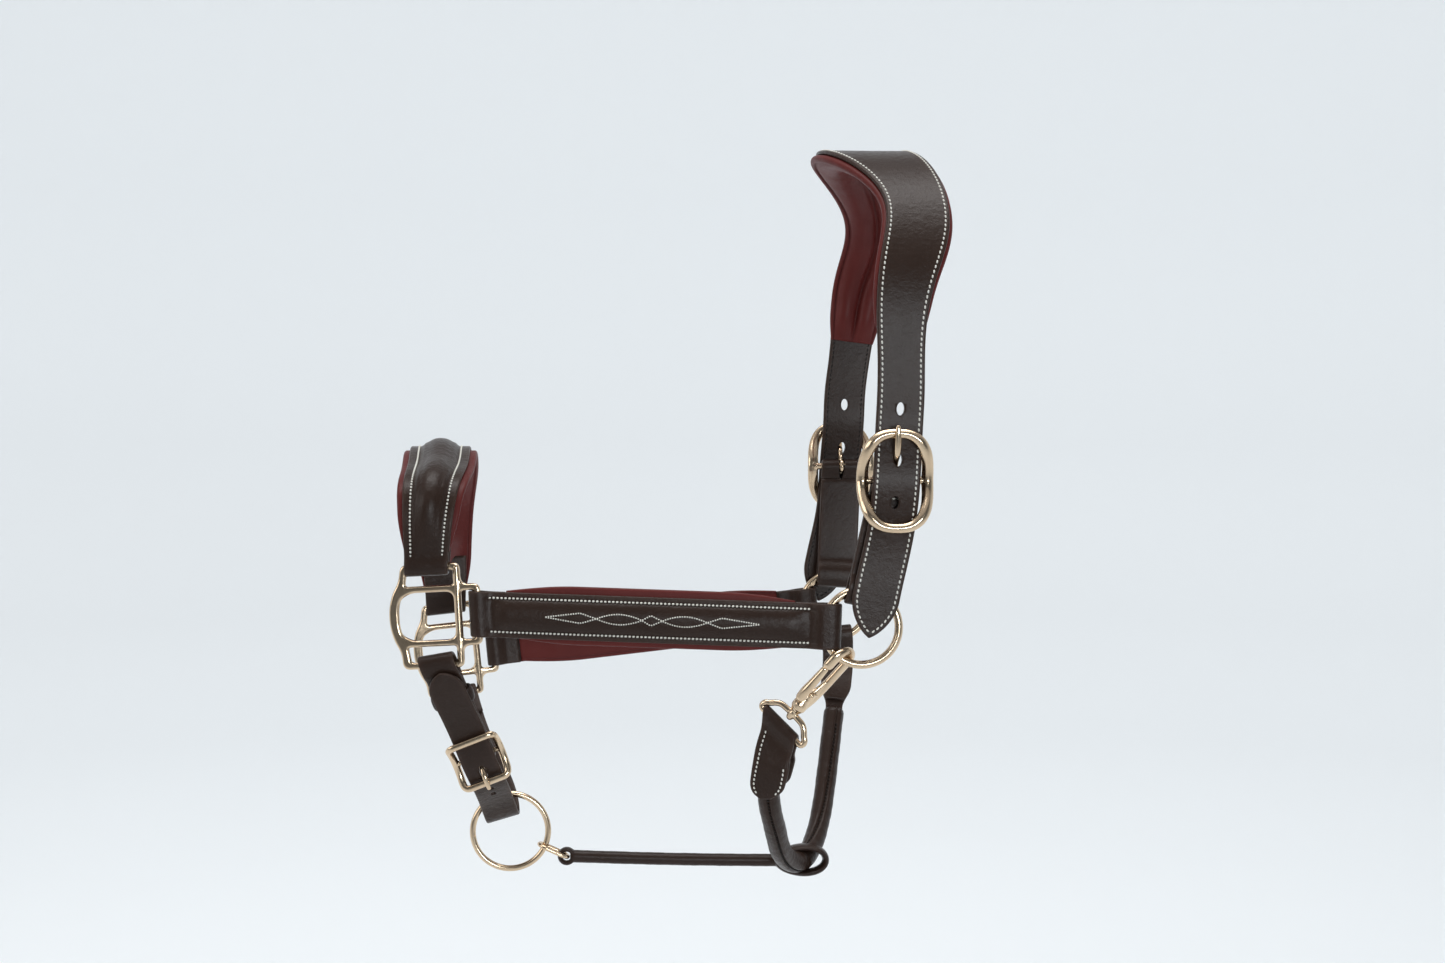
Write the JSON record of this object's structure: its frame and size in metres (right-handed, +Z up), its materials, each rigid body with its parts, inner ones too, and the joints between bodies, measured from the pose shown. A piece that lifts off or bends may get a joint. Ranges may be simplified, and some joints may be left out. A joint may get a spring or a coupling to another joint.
{
  "type": "leather headcollar",
  "caption": "Adjustable leather headcollar with padded crown, cheekpieces and noseband, rolled throatlash with a snap hook, and brass rings, buckles and fittings.",
  "frame": {"origin": "under the middle of the crown pad, where it rests on the poll behind the ears", "axes": "+Z up, -X towards the nose, -Y the near (left) side of the head, +Y the off (right) side"},
  "size_m": [0.2995, 0.202, 0.4135],
  "materials": {
    "crown_strap": "satin, dark brown, waxed",
    "near_cheek_strap": "satin, dark brown, waxed",
    "off_cheek_strap": "satin, dark brown, waxed",
    "near_cheekpiece": "satin, dark brown, waxed",
    "off_cheekpiece": "satin, dark brown, waxed",
    "near_cheek_filler": "satin, dark brown, waxed",
    "off_cheek_filler": "satin, dark brown, waxed",
    "noseband_strap": "satin, dark brown, waxed",
    "noseband_filler": "satin, dark brown, waxed",
    "chin_strap": "satin, dark brown, waxed",
    "chin_billet": "satin, dark brown, waxed",
    "chin_keeper": "satin, dark brown, waxed",
    "connector_strap": "satin, dark brown, waxed",
    "throat_tab": "satin, dark brown, waxed",
    "throat_roll": "satin, dark brown, waxed",
    "off_throat_strap": "satin, dark brown, waxed",
    "crown_lining": "satin, burgundy, padded",
    "near_cheek_lining": "satin, burgundy, padded",
    "off_cheek_lining": "satin, burgundy, padded",
    "noseband_lining": "satin, burgundy, padded",
    "crown_foam_front": "matt closed-cell filling",
    "crown_foam_rear": "matt closed-cell filling",
    "near_cheek_foam": "matt closed-cell filling",
    "off_cheek_foam": "matt closed-cell filling",
    "noseband_foam": "matt closed-cell filling",
    "near_crown_buckle": "polished, pale gold",
    "off_crown_buckle": "polished, pale gold",
    "near_crown_tongue": "polished, pale gold",
    "off_crown_tongue": "polished, pale gold",
    "near_side_ring": "polished, pale gold",
    "off_side_ring": "polished, pale gold",
    "near_fitting": "polished, pale gold",
    "off_fitting": "polished, pale gold",
    "chin_buckle": "polished, pale gold",
    "chin_tongue": "polished, pale gold",
    "chin_ring": "polished, pale gold",
    "chin_link": "polished, pale gold",
    "snap_hook": "polished, pale gold",
    "snap_gate": "polished, pale gold",
    "snap_eye": "polished, pale gold",
    "snap_pin": "bright",
    "snap_spring": "bright"
  },
  "bodies": {
    "headpiece": {"crown_strap": "crown_strap", "crown_lining": "crown_lining", "crown_foam_front": "crown_foam_front", "crown_foam_rear": "crown_foam_rear", "near_crown_buckle": "near_crown_buckle", "off_crown_buckle": "off_crown_buckle", "near_cheek_strap": "near_cheek_strap", "off_cheek_strap": "off_cheek_strap"},
    "nose_frame": {"near_cheekpiece": "near_cheekpiece", "off_cheekpiece": "off_cheekpiece", "near_cheek_filler": "near_cheek_filler", "off_cheek_filler": "off_cheek_filler", "noseband_strap": "noseband_strap", "noseband_filler": "noseband_filler", "chin_strap": "chin_strap", "chin_billet": "chin_billet", "connector_strap": "connector_strap", "throat_tab": "throat_tab", "throat_roll": "throat_roll", "off_throat_strap": "off_throat_strap", "near_cheek_lining": "near_cheek_lining", "off_cheek_lining": "off_cheek_lining", "noseband_lining": "noseband_lining", "near_cheek_foam": "near_cheek_foam", "off_cheek_foam": "off_cheek_foam", "noseband_foam": "noseband_foam", "near_fitting": "near_fitting", "off_fitting": "off_fitting", "chin_buckle": "chin_buckle", "chin_link": "chin_link", "snap_eye": "snap_eye"},
    "near_tongue": {"near_crown_tongue": "near_crown_tongue"},
    "off_tongue": {"off_crown_tongue": "off_crown_tongue"},
    "near_ring": {"near_side_ring": "near_side_ring"},
    "off_ring": {"off_side_ring": "off_side_ring"},
    "chin_buckle_tongue": {"chin_tongue": "chin_tongue"},
    "keeper": {"chin_keeper": "chin_keeper"},
    "lead_ring": {"chin_ring": "chin_ring"},
    "hook": {"snap_hook": "snap_hook", "snap_pin": "snap_pin", "snap_spring": "snap_spring"},
    "gate": {"snap_gate": "snap_gate"}
  },
  "joints": [
    {"name": "near_tongue_hinge", "type": "hinge", "parent": "headpiece", "child": "near_tongue", "pos_m": [0.0065, -0.088, -0.171], "axis": [1, 0, 0], "range_deg": [0, 4]},
    {"name": "off_tongue_hinge", "type": "hinge", "parent": "headpiece", "child": "off_tongue", "pos_m": [0.0016, 0.088, -0.1683], "axis": [-1, 0, 0], "range_deg": [0, 4]},
    {"name": "near_ring_spin", "type": "hinge", "parent": "headpiece", "child": "near_ring", "pos_m": [-0.01, -0.082, -0.249], "axis": [0.0438, 0.9987, -0.025], "continuous": true},
    {"name": "off_ring_spin", "type": "hinge", "parent": "headpiece", "child": "off_ring", "pos_m": [-0.0028, 0.082, -0.2531], "axis": [0.0438, 0.9987, -0.025], "continuous": true},
    {"name": "nose_drop", "type": "hinge", "parent": "headpiece", "child": "nose_frame", "pos_m": [-0.0064, 0, -0.25105], "axis": [0.0438, 0.9987, -0.025], "range_deg": [-25, 0]},
    {"name": "chin_tongue_hinge", "type": "hinge", "parent": "nose_frame", "child": "chin_buckle_tongue", "pos_m": [-0.214, -0.041, -0.322], "axis": [-0.9309, 0.0601, -0.3603], "range_deg": [0, 4]},
    {"name": "keeper_slide", "type": "slide", "parent": "nose_frame", "child": "keeper", "axis": [0.3221, 0.3678, -0.8723], "range_m": [-0.004, 0.001]},
    {"name": "lead_ring_spin", "type": "hinge", "parent": "nose_frame", "child": "lead_ring", "pos_m": [-0.198, 0, -0.3719], "axis": [0, 1, 0], "continuous": true},
    {"name": "hook_swivel", "type": "hinge", "parent": "nose_frame", "child": "hook", "pos_m": [-0.04387, -0.07208, -0.29406], "axis": [0.6153, -0.261, 0.7438], "range_deg": [-2, 3]},
    {"name": "gate_hinge", "type": "hinge", "parent": "hook", "child": "gate", "pos_m": [-0.03733, -0.0773, -0.28382], "axis": [0.5034, -0.596, -0.6256], "range_deg": [-28, 0], "stiffness_Nm_per_rad": 0.02, "springref_deg": 17.19}
  ]
}
